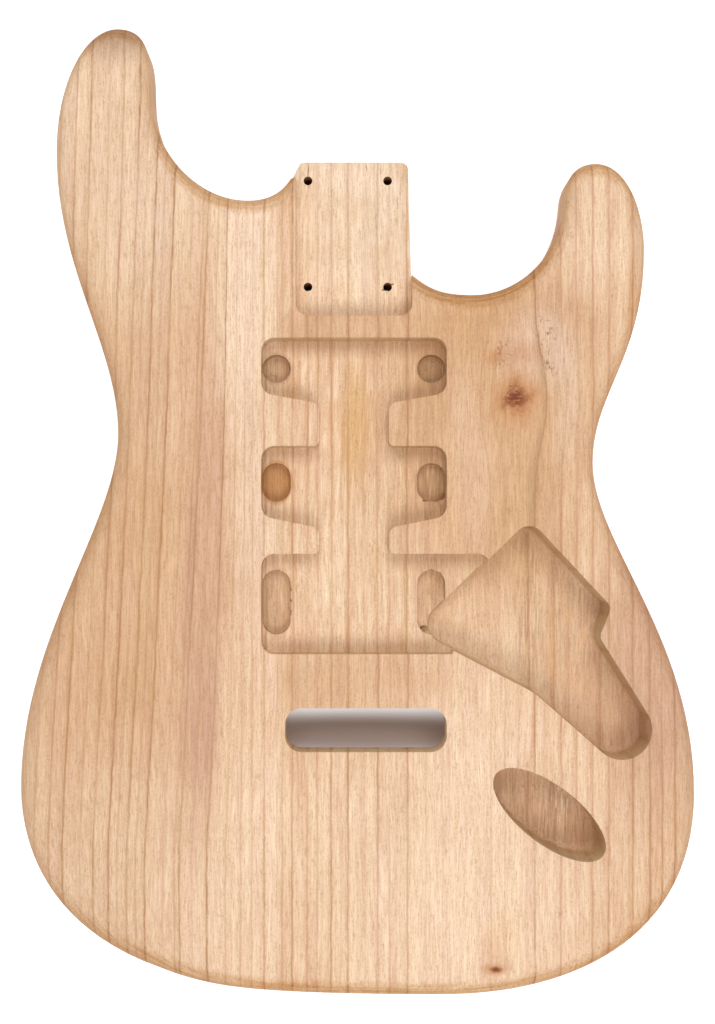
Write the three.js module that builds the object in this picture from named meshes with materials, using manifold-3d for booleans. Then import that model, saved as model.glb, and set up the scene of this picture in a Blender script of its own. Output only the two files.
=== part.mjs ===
import * as THREE from 'three';
import { mergeVertices } from 'three/addons/utils/BufferGeometryUtils.js';
import Module from 'manifold-3d';

// Bare body of an electric guitar with two cutaways, routed and sanded, without hardware.
// Millimetres. X points to the treble side, Y towards the neck, Z out of the front face.
// The origin is on the centre line of the back face, level with the middle of the neck bolts.

// The blank
const bodyLength = 457.9;
const bodyWidth = 321.6;
const bodyThickness = 44.45;

// Two boards, edge glued
const seamX = -36.25;
const glueThickness = 0.25;

// Rounding of the rim
const edgeRound = 9.5;
const heelEdgeRound = 2;
const heelFade = 20;
const rimLand = 1.5;
const heelLand = 0.4;

// Arm contour on the front of the bass side, belly contour on its back
const armDepth = 13;
const armWidth = 56;
const bellyDepth = 16;
const bellyWidth = 74;

// Neck pocket and the heel under it
const pocketWidth = 55;
const pocketLength = 75.3;
const pocketDepth = 16;
const pocketCorner = 6;
const pocketMouthY = 24.5;
const heelEndY = 34.2;
const heelSideLow = 27.4;
const heelSideTop = 25.9;
const heelSideY = -20.6;
const heelLeftTop = -25.3;
const heelLeftLow = -27.6;
const heelLeftY = 30.3;
const heelCorner = 3.5;
const heelLeftCorner = 2.5;

// Neck bolts, a little to the bass side of the centre line
const boltHole = 4.2;
const boltSpacingX = 38.1;
const boltSpacingY = 50.8;
const boltOffsetX = -2.9;

// Pickup routs: three coils on one centre line, joined by a wiring channel
const pickupWidth = 87.3;
const pickupDepth = 16;
const pickupCorner = 6.2;
const throatCorner = 4.5;
const channelWidth = 32.7;
const neckRoutTop = -51.4;
const neckRoutShoulder = -77.4;
const neckRoutThroat = -82.3;
const middleRoutTop = -102.3;
const middleRoutShoulder = -135.3;
const middleRoutThroat = -140.9;
const bridgeRoutTop = -153;
const bridgeRoutBottom = -200.3;
const bridgeRoutRight = 64.3;
const bridgeRoutNotch = -163.1;
const bridgeRoutFoot = 46.2;

// Wells at the pickup ends, for mounting lugs and springs
const wellWidth = 13.5;
const wellDepth = 24;
const wellOffsetX = 37;
const neckWellY = -64.6;
const neckWellLength = 13.5;
const middleWellY = -119;
const middleWellLength = 18.4;
const bridgeWellY = -176.3;
const bridgeWellLength = 30.8;
const wellFlat = 0.3;

// Control cavity: its box, and the corners that shape it inside that box. Each corner holds its place
// across and along the box and its radius, as a share of the box's shorter side.
const controlLeft = 28.9;
const controlTop = -136.8;
const controlWidth = 115.7;
const controlLength = 117.7;
const controlDepth = 30;
const tipAlongShare = 0.446;
const lobeRoundShare = 0.122;
const controlCornerShares = [
  [0.464, 0, 0.064], [0, tipAlongShare, 0.084], [0.484, 0.694, 0.244], [0.838, 1, lobeRoundShare],
  [1, 0.865, lobeRoundShare], [0.748, 0.47, 0.042], [0.798, 0.351, 0.042],
];

// Oval jack cavity
const jackX = 91.9;
const jackY = -275.8;
const jackLength = 63.5;
const jackWidth = 27.3;
const jackTilt = -37.5;
const jackDepth = 30;

// Vibrato slot through the body, and the two cavities behind it
const slotX = 5.6;
const slotY = -236;
const slotWidth = 76.1;
const slotLength = 20.6;
const slotCorner = 7.7;
const blockCavityWidth = 80;
const blockCavityLength = 37;
const blockCavityDepth = 24;
const springCavityWidth = 54;
const springCavityLength = 100;
const springCavityDepth = 15.9;
const rearCorner = 6.3;

// Drilled wiring holes: how far each starts above its cavity's floor, and how the thin one slants
const jackWireHole = 8;
const jackWireRise = 8;
const groundWireHole = 3;
const groundWireRise = 9;
const groundWireReach = 9;
const groundWireFall = 14;

// How far a cutting solid runs past the face that it opens
const overrun = 5;

// Fineness of the facets
const turnLooks = 16;
const turnStep = 7;
const longestStep = 16;
const roundSteps = 6;
const contourRings = 4;
const cornerSegments = 4;
const holeSegments = 16;
const ovalSteps = 28;

// The rim, anticlockwise. Each row holds the place across and along the body, the direction of
// travel in degrees, and the lengths of the two curve handles there.
const boutShares = [
  [-0.3482, -0.2099, 270, 0.09, 0.0929],
  [-0.4977, -0.5833, 270, 0.1599, 0.0591],
  [-0.2876, -0.7657, 341.8, 0.1271, 0.054],
  [0.1307, -0.7908, 0, 0.196, 0.1401],
  [0.5023, -0.5824, 90, 0.1468, 0.1617],
  [0.3526, -0.2401, 90, 0.0827, 0.0726],
];
const trebleCutawayShares = [[0.1753, -0.0661, 180, 0.0413, 0.031]];
const bassCutawayShares = [[-0.157, 0.0318, 180, 0.024, 0.0471]];
const heelArrival = [140.4, 0.0243];
const heelDeparture = [250.2, 0.0259];

// The horns: the tip's place on the body, and rows like those above, but from the tip and as shares
// of the horn's reach
const bassHornReach = 58.3;
const bassHornTipShares = [-0.3485, 0.2093];
const bassHornInnerShares = [[0.2768, -0.6406, 98.2, 0.4267, 0.265]];
const bassHornOuterShares = [[0, 0, 180, 0.3306, 0.2585], [-0.499, -1, 270, 0.5861, 0.9678]];
const trebleHornReach = 41.7;
const trebleHornTipShares = [0.3574, 0.0699];
const trebleHornShares = [
  [0.5477, -0.9993, 90, 1.2069, 0.5477],
  [0, 0, 180, 0.3153, 0.258],
  [-0.3596, -0.4019, 266.1, 0.2165, 0.736],
];
// Stretches of the rim, counted in curves from the tip of the bass horn, that the contours cover
const bellyStretch = [1, 2.95];
const armStretch = [2.05, 4.55];

const wasm = await Module();
wasm.setup();

// A closed three.js geometry as a solid that can be cut and joined
function solidOf(geometry) {
  const bare = geometry.clone();
  bare.deleteAttribute('normal');
  bare.deleteAttribute('uv');
  const merged = mergeVertices(bare);
  return new wasm.Manifold(new wasm.Mesh({
    numProp: 3,
    vertProperties: new Float32Array(merged.attributes.position.array),
    triVerts: new Uint32Array(merged.index.array),
  }));
}

function geometryOf(solid) {
  const { vertProperties, triVerts } = solid.getMesh();
  const geometry = new THREE.BufferGeometry();
  geometry.setAttribute('position', new THREE.BufferAttribute(vertProperties, 3));
  geometry.setIndex(new THREE.BufferAttribute(triVerts, 1));
  geometry.computeVertexNormals();
  return geometry;
}

// A plan shape made solid between two heights
function prism(shape, low, high) {
  const geometry = new THREE.ExtrudeGeometry(shape, { depth: high - low, bevelEnabled: false });
  geometry.translate(0, 0, low);
  return solidOf(geometry);
}

// The points of a closed plan whose corners [x, y, radius] are rounded with arcs
function roundedPoints(corners) {
  return corners.flatMap(([x, y, radius], i) => {
    const corner = new THREE.Vector2(x, y);
    if (radius === 0) return [corner];
    const before = new THREE.Vector2(...corners.at(i - 1)).sub(corner).normalize();
    const after = new THREE.Vector2(...corners[(i + 1) % corners.length]).sub(corner).normalize();
    const half = Math.acos(before.dot(after)) / 2;
    const middle = before.clone().add(after).normalize();
    const centre = corner.clone().addScaledVector(middle, radius / Math.sin(half));
    const start = corner.clone().addScaledVector(before, radius / Math.tan(half));
    const sweep = (Math.PI - 2 * half) * Math.sign(after.cross(before));
    const steps = Math.ceil(Math.abs(sweep) / (Math.PI / 2) * cornerSegments);
    return Array.from({ length: steps + 1 }, (_, k) => (
      start.clone().rotateAround(centre, sweep * k / steps)));
  });
}

function roundedShape(corners) {
  return new THREE.Shape(roundedPoints(corners));
}

function rectangle(centreX, centreY, width, length, radius) {
  const [left, right] = [centreX - width / 2, centreX + width / 2];
  const [low, high] = [centreY - length / 2, centreY + length / 2];
  return roundedShape([
    [left, low, radius], [right, low, radius], [right, high, radius], [left, high, radius],
  ]);
}

// A drilled hole between two points
function drilled(from, to, diameter) {
  const axis = to.clone().sub(from);
  const bit = new THREE.CylinderGeometry(diameter / 2, diameter / 2, axis.length(), holeSegments);
  bit.applyQuaternion(new THREE.Quaternion().setFromUnitVectors(
    new THREE.Vector3(0, 1, 0), axis.clone().normalize()));
  bit.translate(...from.clone().lerp(to, 0.5));
  return solidOf(bit);
}

function heading(degrees) {
  const angle = THREE.MathUtils.degToRad(degrees);
  return new THREE.Vector2(Math.cos(angle), Math.sin(angle));
}

// One smooth curve from knot to knot, each with its direction and the handles into and out of it
function rimCurve(from, to) {
  return new THREE.CubicBezierCurve(
    from.point,
    from.point.clone().addScaledVector(heading(from.direction), from.handleOut),
    to.point.clone().addScaledVector(heading(to.direction), -to.handleIn),
    to.point,
  );
}

function rimKnot([across, along, direction, handleIn, handleOut]) {
  return {
    point: new THREE.Vector2(across * bodyWidth, along * bodyLength),
    direction,
    handleIn: handleIn * bodyLength,
    handleOut: handleOut * bodyLength,
  };
}

function hornKnots(rows, [tipAcross, tipAlong], reach) {
  const tip = new THREE.Vector2(tipAcross * bodyWidth, tipAlong * bodyLength);
  return rows.map(([across, along, direction, handleIn, handleOut]) => ({
    point: new THREE.Vector2(across, along).multiplyScalar(reach).add(tip),
    direction,
    handleIn: handleIn * reach,
    handleOut: handleOut * reach,
  }));
}

// The heel's plan: a straight treble side, two small corners and a slanted bass side
function heelCurves(low, left) {
  const points = roundedPoints([
    [low.x, low.y, 0], [heelSideTop, heelEndY, heelCorner],
    [heelLeftTop, heelEndY, heelLeftCorner], [left.x, left.y, 0],
  ]);
  return points.slice(1).map((point, i) => new THREE.LineCurve(points[i], point));
}

function rimCurves() {
  const low = new THREE.Vector2(heelSideLow, heelSideY);
  const left = new THREE.Vector2(heelLeftLow, heelLeftY);
  const around = [
    ...hornKnots(bassHornOuterShares, bassHornTipShares, bassHornReach),
    ...boutShares.map(rimKnot),
    ...hornKnots(trebleHornShares, trebleHornTipShares, trebleHornReach),
    ...trebleCutawayShares.map(rimKnot),
    { point: low, direction: heelArrival[0], handleIn: heelArrival[1] * bodyLength },
  ];
  const back = [
    { point: left, direction: heelDeparture[0], handleOut: heelDeparture[1] * bodyLength },
    ...bassCutawayShares.map(rimKnot),
    ...hornKnots(bassHornInnerShares, bassHornTipShares, bassHornReach),
    around[0],
  ];
  const chain = (knots) => knots.slice(1).map((knot, i) => rimCurve(knots[i], knot));
  return [
    ...chain(around).map((curve) => ({ curve, onHeel: false })),
    ...heelCurves(low, left).map((curve) => ({ curve, onHeel: true })),
    ...chain(back).map((curve) => ({ curve, onHeel: false })),
  ];
}

// How much a curve turns in all, in degrees
function turning(curve) {
  const looks = Array.from({ length: turnLooks + 1 }, (_, i) => curve.getTangent(i / turnLooks).angle());
  return looks.slice(1).reduce((sum, angle, i) => {
    const turn = Math.abs(angle - looks[i]) % (2 * Math.PI);
    return sum + THREE.MathUtils.radToDeg(Math.min(turn, 2 * Math.PI - turn));
  }, 0);
}

// A smooth swell from nothing at both ends of a stretch to one in its middle
function swell(place, [start, end]) {
  if (place <= start || place >= end) return 0;
  return Math.sin(Math.PI * (place - start) / (end - start)) ** 2;
}

// Stations along the rim, each with the rounding and the contour swell that the rim has there
function rimStations() {
  const stations = rimCurves().flatMap(({ curve, onHeel }, index) => {
    const steps = Math.ceil(Math.max(turning(curve) / turnStep, curve.getLength() / longestStep));
    return Array.from({ length: steps }, (_, i) => {
      const point = curve.getPoint(i / steps);
      const place = index + i / steps;
      const gap = Math.hypot(Math.max(Math.abs(point.x) - pocketWidth / 2, 0), Math.max(-point.y, 0));
      const blend = THREE.MathUtils.smoothstep(gap, 0, heelFade);
      const back = {
        round: THREE.MathUtils.lerp(heelEdgeRound, edgeRound, blend),
        swell: swell(place, bellyStretch),
        depth: bellyDepth,
        width: bellyWidth,
      };
      const front = {
        round: onHeel && point.y > heelSideY ? heelEdgeRound : edgeRound,
        swell: swell(place, armStretch),
        depth: armDepth,
        width: armWidth,
      };
      return { point, back, front, land: onHeel ? heelLand : rimLand };
    });
  });
  stations.forEach((station, i) => {
    const before = station.point.clone().sub(stations.at(i - 1).point).normalize();
    const after = stations[(i + 1) % stations.length].point.clone().sub(station.point).normalize();
    const bisector = new THREE.Vector2(-before.y - after.y, before.x + after.x);
    station.inward = bisector.divideScalar(1 + before.dot(after));
  });
  return stations;
}

// One side of the rim's section, from the flat of the face to the side wall, as pairs of inset and
// drop: the contour falls away as a parabola, and the rounding follows it down
function sideSection({ round, swell: size, depth, width }, land) {
  const reach = land + (width - land) * size;
  const total = round + reach;
  const fall = (inset) => depth * size * (1 - inset / total) ** 2;
  const contour = Array.from({ length: contourRings }, (_, k) => {
    const inset = total - reach * k / contourRings;
    return [inset, fall(inset)];
  });
  const rounding = Array.from({ length: roundSteps + 1 }, (_, k) => {
    const angle = Math.PI / 2 * k / roundSteps;
    const inset = round * (1 - Math.sin(angle));
    return [inset, fall(inset) + round * (1 - Math.cos(angle))];
  });
  return [...contour, ...rounding];
}

// The blank, sanded round its rim: rings of points from the flat back, round the rim, to the flat front
function sandedBlank() {
  const stations = rimStations();
  const sections = stations.map(({ back, front, land }) => [
    ...sideSection(back, land),
    ...sideSection(front, land).map(([inset, drop]) => [inset, bodyThickness - drop]).reverse(),
  ]);
  const ring = (level) => stations.map(({ point, inward }, i) => (
    point.clone().addScaledVector(inward, sections[i][level][0])));
  const levels = sections[0].length;
  const count = stations.length;
  const positions = [];
  for (let level = 0; level < levels; level++) {
    ring(level).forEach(({ x, y }, i) => positions.push(x, y, sections[i][level][1]));
  }
  const index = [];
  for (let level = 0; level < levels - 1; level++) {
    for (let i = 0; i < count; i++) {
      const next = (i + 1) % count;
      const [a, b] = [level * count + i, level * count + next];
      index.push(a, b, b + count, a, b + count, a + count);
    }
  }
  const top = (levels - 1) * count;
  const backFlat = THREE.ShapeUtils.triangulateShape(ring(0), []);
  const frontFlat = THREE.ShapeUtils.triangulateShape(ring(levels - 1), []);
  backFlat.forEach(([a, b, c]) => index.push(c, b, a));
  frontFlat.forEach(([a, b, c]) => index.push(top + a, top + b, top + c));
  const geometry = new THREE.BufferGeometry();
  geometry.setAttribute('position', new THREE.Float32BufferAttribute(positions, 3));
  geometry.setIndex(index);
  return solidOf(geometry);
}

// Sizes that the cuts share
const frontTop = bodyThickness + overrun;
const backBottom = -overrun;
const controlSide = Math.min(controlWidth, controlLength);

// The pocket, open to the neck. Its bass side wall stops where the cutaway would thin it to nothing.
function neckPocket() {
  const half = pocketWidth / 2;
  const low = heelEndY - pocketLength;
  const high = heelEndY + overrun;
  const plan = roundedShape([
    [-half - overrun, high, 0], [-half - overrun, pocketMouthY, 0], [-half, pocketMouthY, 0],
    [-half, low, pocketCorner], [half, low, pocketCorner], [half, high, 0],
  ]);
  return prism(plan, bodyThickness - pocketDepth, frontTop);
}

function neckBoltHoles() {
  return [-1, 1].flatMap((across) => [-1, 1].map((along) => {
    const x = boltOffsetX + across * boltSpacingX / 2;
    const y = along * boltSpacingY / 2;
    return drilled(new THREE.Vector3(x, y, backBottom), new THREE.Vector3(x, y, bodyThickness), boltHole);
  }));
}

// A pickup rout with shoulders that slope in to the channel, which runs on down into the next rout
function coilRout(top, shoulder, throat, next) {
  const half = pickupWidth / 2;
  const channel = channelWidth / 2;
  const plan = roundedShape([
    [-half, top, pickupCorner], [-half, shoulder, pickupCorner], [-channel, throat, throatCorner],
    [-channel, next - overrun, 0], [channel, next - overrun, 0],
    [channel, throat, throatCorner], [half, shoulder, pickupCorner], [half, top, pickupCorner],
  ]);
  return prism(plan, bodyThickness - pickupDepth, frontTop);
}

function bridgeCoilRout() {
  const half = pickupWidth / 2;
  const plan = roundedShape([
    [-half, bridgeRoutTop, pickupCorner], [-half, bridgeRoutBottom, pickupCorner],
    [bridgeRoutFoot, bridgeRoutBottom, 0], [bridgeRoutRight, bridgeRoutNotch, 0],
    [bridgeRoutRight, bridgeRoutTop, pickupCorner],
  ]);
  return prism(plan, bodyThickness - pickupDepth, frontTop);
}

function pickupWells() {
  const rows = [
    [neckWellY, neckWellLength], [middleWellY, middleWellLength], [bridgeWellY, bridgeWellLength],
  ];
  return rows.flatMap(([y, length]) => [-1, 1].map((side) => {
    const plan = rectangle(side * wellOffsetX, y, wellWidth, length, wellWidth / 2 - wellFlat);
    return prism(plan, bodyThickness - wellDepth, frontTop);
  }));
}

function controlCavity() {
  const plan = roundedShape(controlCornerShares.map(([across, along, rounding]) => [
    controlLeft + across * controlWidth, controlTop - along * controlLength, rounding * controlSide,
  ]));
  return prism(plan, bodyThickness - controlDepth, frontTop);
}

function jackCavity() {
  const oval = new THREE.EllipseCurve(
    jackX, jackY, jackLength / 2, jackWidth / 2, 0, 2 * Math.PI, false, THREE.MathUtils.degToRad(jackTilt));
  const plan = new THREE.Shape(oval.getPoints(ovalSteps).slice(0, -1));
  return prism(plan, bodyThickness - jackDepth, frontTop);
}

function vibratoCuts() {
  const slotHigh = slotY + slotLength / 2;
  const slot = rectangle(slotX, slotY, slotWidth, slotLength, slotCorner);
  const block = rectangle(
    slotX, slotHigh - blockCavityLength / 2, blockCavityWidth, blockCavityLength, rearCorner);
  const springs = rectangle(
    slotX, slotHigh + springCavityLength / 2 - overrun,
    springCavityWidth, springCavityLength + 2 * overrun, rearCorner);
  return [
    prism(slot, backBottom, frontTop),
    prism(block, backBottom, blockCavityDepth),
    prism(springs, backBottom, springCavityDepth),
  ];
}

// The wire from the jack to the controls, and the one that earths the springs
function wiringHoles() {
  const jackZ = bodyThickness - jackDepth + jackWireRise;
  const lobeRound = lobeRoundShare * controlSide;
  const lobeX = controlLeft + controlWidth - 2 * lobeRound;
  const lobeY = controlTop - controlLength + 2 * lobeRound;
  const tipY = controlTop - tipAlongShare * controlLength;
  const tipZ = bodyThickness - controlDepth + groundWireRise;
  const inControls = new THREE.Vector3(controlLeft + groundWireReach, tipY, tipZ);
  const inSprings = new THREE.Vector3(controlLeft - groundWireReach, tipY, tipZ - groundWireFall);
  return [
    drilled(
      new THREE.Vector3(jackX, jackY, jackZ), new THREE.Vector3(lobeX, lobeY, jackZ), jackWireHole),
    drilled(inControls, inSprings, groundWireHole),
  ];
}

function routedBody() {
  const cuts = [
    neckPocket(),
    ...neckBoltHoles(),
    coilRout(neckRoutTop, neckRoutShoulder, neckRoutThroat, middleRoutTop),
    coilRout(middleRoutTop, middleRoutShoulder, middleRoutThroat, bridgeRoutTop),
    bridgeCoilRout(),
    ...pickupWells(),
    controlCavity(),
    jackCavity(),
    ...vibratoCuts(),
    ...wiringHoles(),
  ];
  return cuts.reduce((body, cut) => body.subtract(cut), sandedBlank());
}

// A block that covers the body between two places across it
function acrossBody(left, right) {
  const plan = roundedShape([
    [left, -bodyLength, 0], [right, -bodyLength, 0], [right, bodyLength, 0], [left, bodyLength, 0],
  ]);
  return prism(plan, backBottom, frontTop);
}

const body = routedBody();
const glueLeft = seamX - glueThickness / 2;
const glueRight = seamX + glueThickness / 2;
const part = new THREE.Group();

function addPiece(name, left, right, color, roughness) {
  const material = new THREE.MeshStandardMaterial({ color, roughness, metalness: 0 });
  const mesh = new THREE.Mesh(geometryOf(body.intersect(acrossBody(left, right))), material);
  mesh.name = name;
  part.add(mesh);
}

addPiece('bass_board', glueLeft - bodyWidth, glueLeft, 0xdfb98a, 0.62);
addPiece('glue_line', glueLeft, glueRight, 0xb98a54, 0.45);
addPiece('treble_board', glueRight, glueRight + bodyWidth, 0xe2b892, 0.62);

export default part;
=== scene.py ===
import math
import random

import bmesh
import bpy
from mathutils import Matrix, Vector


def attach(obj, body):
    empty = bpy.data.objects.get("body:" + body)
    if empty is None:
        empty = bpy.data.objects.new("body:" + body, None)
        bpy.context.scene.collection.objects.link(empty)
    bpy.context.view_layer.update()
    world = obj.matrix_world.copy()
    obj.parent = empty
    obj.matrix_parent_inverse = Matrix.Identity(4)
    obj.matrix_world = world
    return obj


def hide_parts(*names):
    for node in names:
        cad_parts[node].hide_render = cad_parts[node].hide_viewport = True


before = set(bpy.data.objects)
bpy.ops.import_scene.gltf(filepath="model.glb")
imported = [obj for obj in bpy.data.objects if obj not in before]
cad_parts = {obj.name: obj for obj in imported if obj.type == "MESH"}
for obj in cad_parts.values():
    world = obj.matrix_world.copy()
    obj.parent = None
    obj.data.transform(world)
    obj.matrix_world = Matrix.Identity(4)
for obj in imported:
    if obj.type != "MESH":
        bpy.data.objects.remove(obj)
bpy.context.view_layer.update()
mm = 0.001  # sizes below are in millimetres, meshes in metres
random.seed(4)

# Plans, and the meshes made of them


def heading(degrees):
    return Vector((math.cos(math.radians(degrees)), math.sin(math.radians(degrees))))


def turned(vector, angle):
    c, s = math.cos(angle), math.sin(angle)
    return Vector((vector.x * c - vector.y * s, vector.x * s + vector.y * c))


def cross(a, b):
    return a.x * b.y - a.y * b.x


def inwardFrom(before, after):
    # from a plan's point towards its inside, long enough to inset both lines that meet there by 1
    return Vector((-before.y - after.y, before.x + after.x)) / (1 + before.dot(after))


def quarterTurn(steps):
    return [math.pi / 2 * k / steps for k in range(steps + 1)]


def fullTurn(steps):
    return [2 * math.pi * k / steps for k in range(steps)]


def bezier(p, steps):
    out = []
    for i in range(steps):
        t = i / steps
        s = 1 - t
        out.append(p[0] * s ** 3 + p[1] * 3 * s * s * t + p[2] * 3 * s * t * t + p[3] * t ** 3)
    return out


def roundedPlan(corners, segments=8):
    # corners are [x, y, radius]; each becomes an arc
    out = []
    for i, (x, y, radius) in enumerate(corners):
        corner = Vector((x, y))
        if radius == 0:
            out.append(corner)
            continue
        before = (Vector(corners[i - 1][:2]) - corner).normalized()
        after = (Vector(corners[(i + 1) % len(corners)][:2]) - corner).normalized()
        half = math.acos(max(-1, min(1, before.dot(after)))) / 2
        centre = corner + (before + after).normalized() * (radius / math.sin(half))
        start = corner + before * (radius / math.tan(half))
        sweep = (math.pi - 2 * half) * math.copysign(1, cross(after, before))
        steps = max(2, math.ceil(abs(sweep) / (math.pi / 2) * segments))
        out += [centre + turned(start - centre, sweep * k / steps) for k in range(steps + 1)]
    return out


def rectanglePlan(x, y, width, length, radius):
    a, b, c, d = x - width / 2, x + width / 2, y - length / 2, y + length / 2
    return roundedPlan([[a, c, radius], [b, c, radius], [b, d, radius], [a, d, radius]])


def linked(name, data):
    obj = bpy.data.objects.new(name, data)
    bpy.context.scene.collection.objects.link(obj)
    return obj


def ringTube(name, rings, materialIndex=0):
    # rings of points joined from the lowest to the highest, with a face over each end
    n, top = len(rings[0]), len(rings) - 1
    faces = [(k * n + i, k * n + (i + 1) % n, (k + 1) * n + (i + 1) % n, (k + 1) * n + i)
             for k in range(top) for i in range(n)]
    faces += [tuple(range(n - 1, -1, -1)), tuple(range(top * n, top * n + n))]
    mesh = bpy.data.meshes.new(name)
    mesh.from_pydata([Vector(p) * mm for ring in rings for p in ring], [], faces)
    mesh.validate()
    for polygon in mesh.polygons:
        polygon.material_index = materialIndex
    return linked(name, mesh)


# The blank, sanded round its rim

blank = {
    "length": 457.9, "width": 321.6, "thickness": 44.45, "pocketWidth": 55,
    "edgeRound": 9.5, "heelEdgeRound": 2, "heelFade": 20, "rimLand": 0.6, "heelLand": 0.4,
    "arm": {"depth": 13, "width": 56, "stretch": (2.05, 4.55)},
    "belly": {"depth": 16, "width": 74, "stretch": (1, 2.95)},
    "turnStep": 3.5, "longestStep": 6, "turnLooks": 24, "roundSteps": 10, "contourRings": 10,
    # across and along the body, direction, handle in, handle out
    "bouts": [
        (-0.3482, -0.2099, 270, 0.09, 0.0929),
        (-0.4977, -0.5833, 270, 0.1599, 0.0591),
        (-0.2876, -0.7657, 341.8, 0.1271, 0.054),
        (0.1307, -0.7908, 0, 0.196, 0.1401),
        (0.5023, -0.5824, 90, 0.1468, 0.1617),
        (0.3526, -0.2401, 90, 0.0827, 0.0726),
    ],
    "trebleCutaway": [(0.1753, -0.0661, 180, 0.0413, 0.031)],
    "bassCutaway": [(-0.157, 0.0318, 180, 0.024, 0.0471)],
    "heelArrival": (140.4, 0.0243),
    "heelDeparture": (250.2, 0.0259),
    # from the tip, in shares of the horn's reach
    "bassHorn": {
        "reach": 58.3,
        "tip": (-0.3485, 0.2093),
        "outer": [(0, 0, 180, 0.3306, 0.2585), (-0.499, -1, 270, 0.5861, 0.9678)],
        "inner": [(0.2768, -0.6406, 98.2, 0.4267, 0.265)],
    },
    "trebleHorn": {
        "reach": 41.7,
        "tip": (0.3574, 0.0699),
        "around": [
            (0.5477, -0.9993, 90, 1.2069, 0.5477),
            (0, 0, 180, 0.3153, 0.258),
            (-0.3596, -0.4019, 266.1, 0.2165, 0.736),
        ],
    },
    "heel": {
        "endY": 34.2, "sideLow": 27.4, "sideTop": 25.9, "sideY": -20.6,
        "leftTop": -25.3, "leftLow": -27.6, "leftY": 30.3, "corner": 3.5, "leftCorner": 2.5,
    },
}


def bodyKnots(rows):
    width, r = blank["width"], blank["length"]
    return [(Vector((x * width, y * r)), d, i * r, o * r) for x, y, d, i, o in rows]


def hornKnots(rows, horn):
    tip = Vector((horn["tip"][0] * blank["width"], horn["tip"][1] * blank["length"]))
    r = horn["reach"]
    return [(tip + Vector((x, y)) * r, d, i * r, o * r) for x, y, d, i, o in rows]


def rimPieces():
    # every curve of the rim in order, each as (control points, on the heel)
    heel, bass, treble = blank["heel"], blank["bassHorn"], blank["trebleHorn"]
    length = blank["length"]
    low = Vector((heel["sideLow"], heel["sideY"]))
    left = Vector((heel["leftLow"], heel["leftY"]))
    around = hornKnots(bass["outer"], bass) + bodyKnots(blank["bouts"])
    around += hornKnots(treble["around"], treble) + bodyKnots(blank["trebleCutaway"])
    around.append((low, blank["heelArrival"][0], blank["heelArrival"][1] * length, 0))
    back = [(left, blank["heelDeparture"][0], 0, blank["heelDeparture"][1] * length)]
    back += bodyKnots(blank["bassCutaway"]) + hornKnots(bass["inner"], bass) + [around[0]]

    def chain(knots):
        out = []
        for a, b in zip(knots, knots[1:]):
            p = [a[0], a[0] + heading(a[1]) * a[3], b[0] - heading(b[1]) * b[2], b[0]]
            out.append((p, False))
        return out

    corners = roundedPlan([
        [low.x, low.y, 0], [heel["sideTop"], heel["endY"], heel["corner"]],
        [heel["leftTop"], heel["endY"], heel["leftCorner"]], [left.x, left.y, 0],
    ])
    lines = [([a, a.lerp(b, 1 / 3), a.lerp(b, 2 / 3), b], True) for a, b in zip(corners, corners[1:])]
    return chain(around) + lines + chain(back)


def turning(p):
    looks = bezier(p, blank["turnLooks"]) + [p[3]]
    steps = [b - a for a, b in zip(looks, looks[1:])]
    total = sum(abs(math.atan2(cross(a, b), a.dot(b))) for a, b in zip(steps, steps[1:]))
    return math.degrees(total), sum(s.length for s in steps)


def swell(place, stretch):
    a, b = stretch
    return math.sin(math.pi * (place - a) / (b - a)) ** 2 if a < place < b else 0


def smoothstep(value, low, high):
    t = max(0, min(1, (value - low) / (high - low)))
    return t * t * (3 - 2 * t)


def rimStations():
    out = []
    heel = blank["heel"]
    for index, (p, onHeel) in enumerate(rimPieces()):
        turn, length = turning(p)
        steps = math.ceil(max(turn / blank["turnStep"], length / blank["longestStep"]))
        for i, point in enumerate(bezier(p, steps)):
            place = index + i / steps
            gap = math.hypot(max(abs(point.x) - blank["pocketWidth"] / 2, 0), max(-point.y, 0))
            soft = smoothstep(gap, 0, blank["heelFade"])
            backRound = blank["heelEdgeRound"] * (1 - soft) + blank["edgeRound"] * soft
            frontRound = blank["heelEdgeRound"] if onHeel and point.y > heel["sideY"] else blank["edgeRound"]
            out.append({
                "point": point,
                "back": (backRound, swell(place, blank["belly"]["stretch"]), blank["belly"]),
                "front": (frontRound, swell(place, blank["arm"]["stretch"]), blank["arm"]),
                "land": blank["heelLand"] if onHeel else blank["rimLand"],
            })
    for i, station in enumerate(out):
        before = (station["point"] - out[i - 1]["point"]).normalized()
        after = (out[(i + 1) % len(out)]["point"] - station["point"]).normalized()
        station["inward"] = inwardFrom(before, after)
    return out


def sideSection(side, land):
    # (inset, drop) pairs from the flat of the face to the side wall
    radius, size, contour = side
    reach = land + (contour["width"] - land) * size
    total = radius + reach

    def fall(inset):
        return contour["depth"] * size * (1 - inset / total) ** 2

    rings = [total - reach * k / blank["contourRings"] for k in range(blank["contourRings"])]
    out = [(inset, fall(inset)) for inset in rings]
    for angle in quarterTurn(blank["roundSteps"]):
        inset = radius * (1 - math.sin(angle))
        out.append((inset, fall(inset) + radius * (1 - math.cos(angle))))
    return out


def sandedBlank():
    stations = rimStations()
    sections = []
    for s in stations:
        front = [(inset, blank["thickness"] - drop) for inset, drop in sideSection(s["front"], s["land"])]
        sections.append(sideSection(s["back"], s["land"]) + front[::-1])
    rings = []
    for level in zip(*sections):
        inset = [s["point"] + s["inward"] * inset for s, (inset, z) in zip(stations, level)]
        rings.append([(p.x, p.y, z) for p, (_, z) in zip(inset, level)])
    print("blank:", len(stations), "stations,", len(rings), "rings")
    return ringTube("blank", rings)


# The cuts

sanded, wallCut, floorCut, tornCut, edgeCut = range(5)  # material slots of the boards

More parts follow.
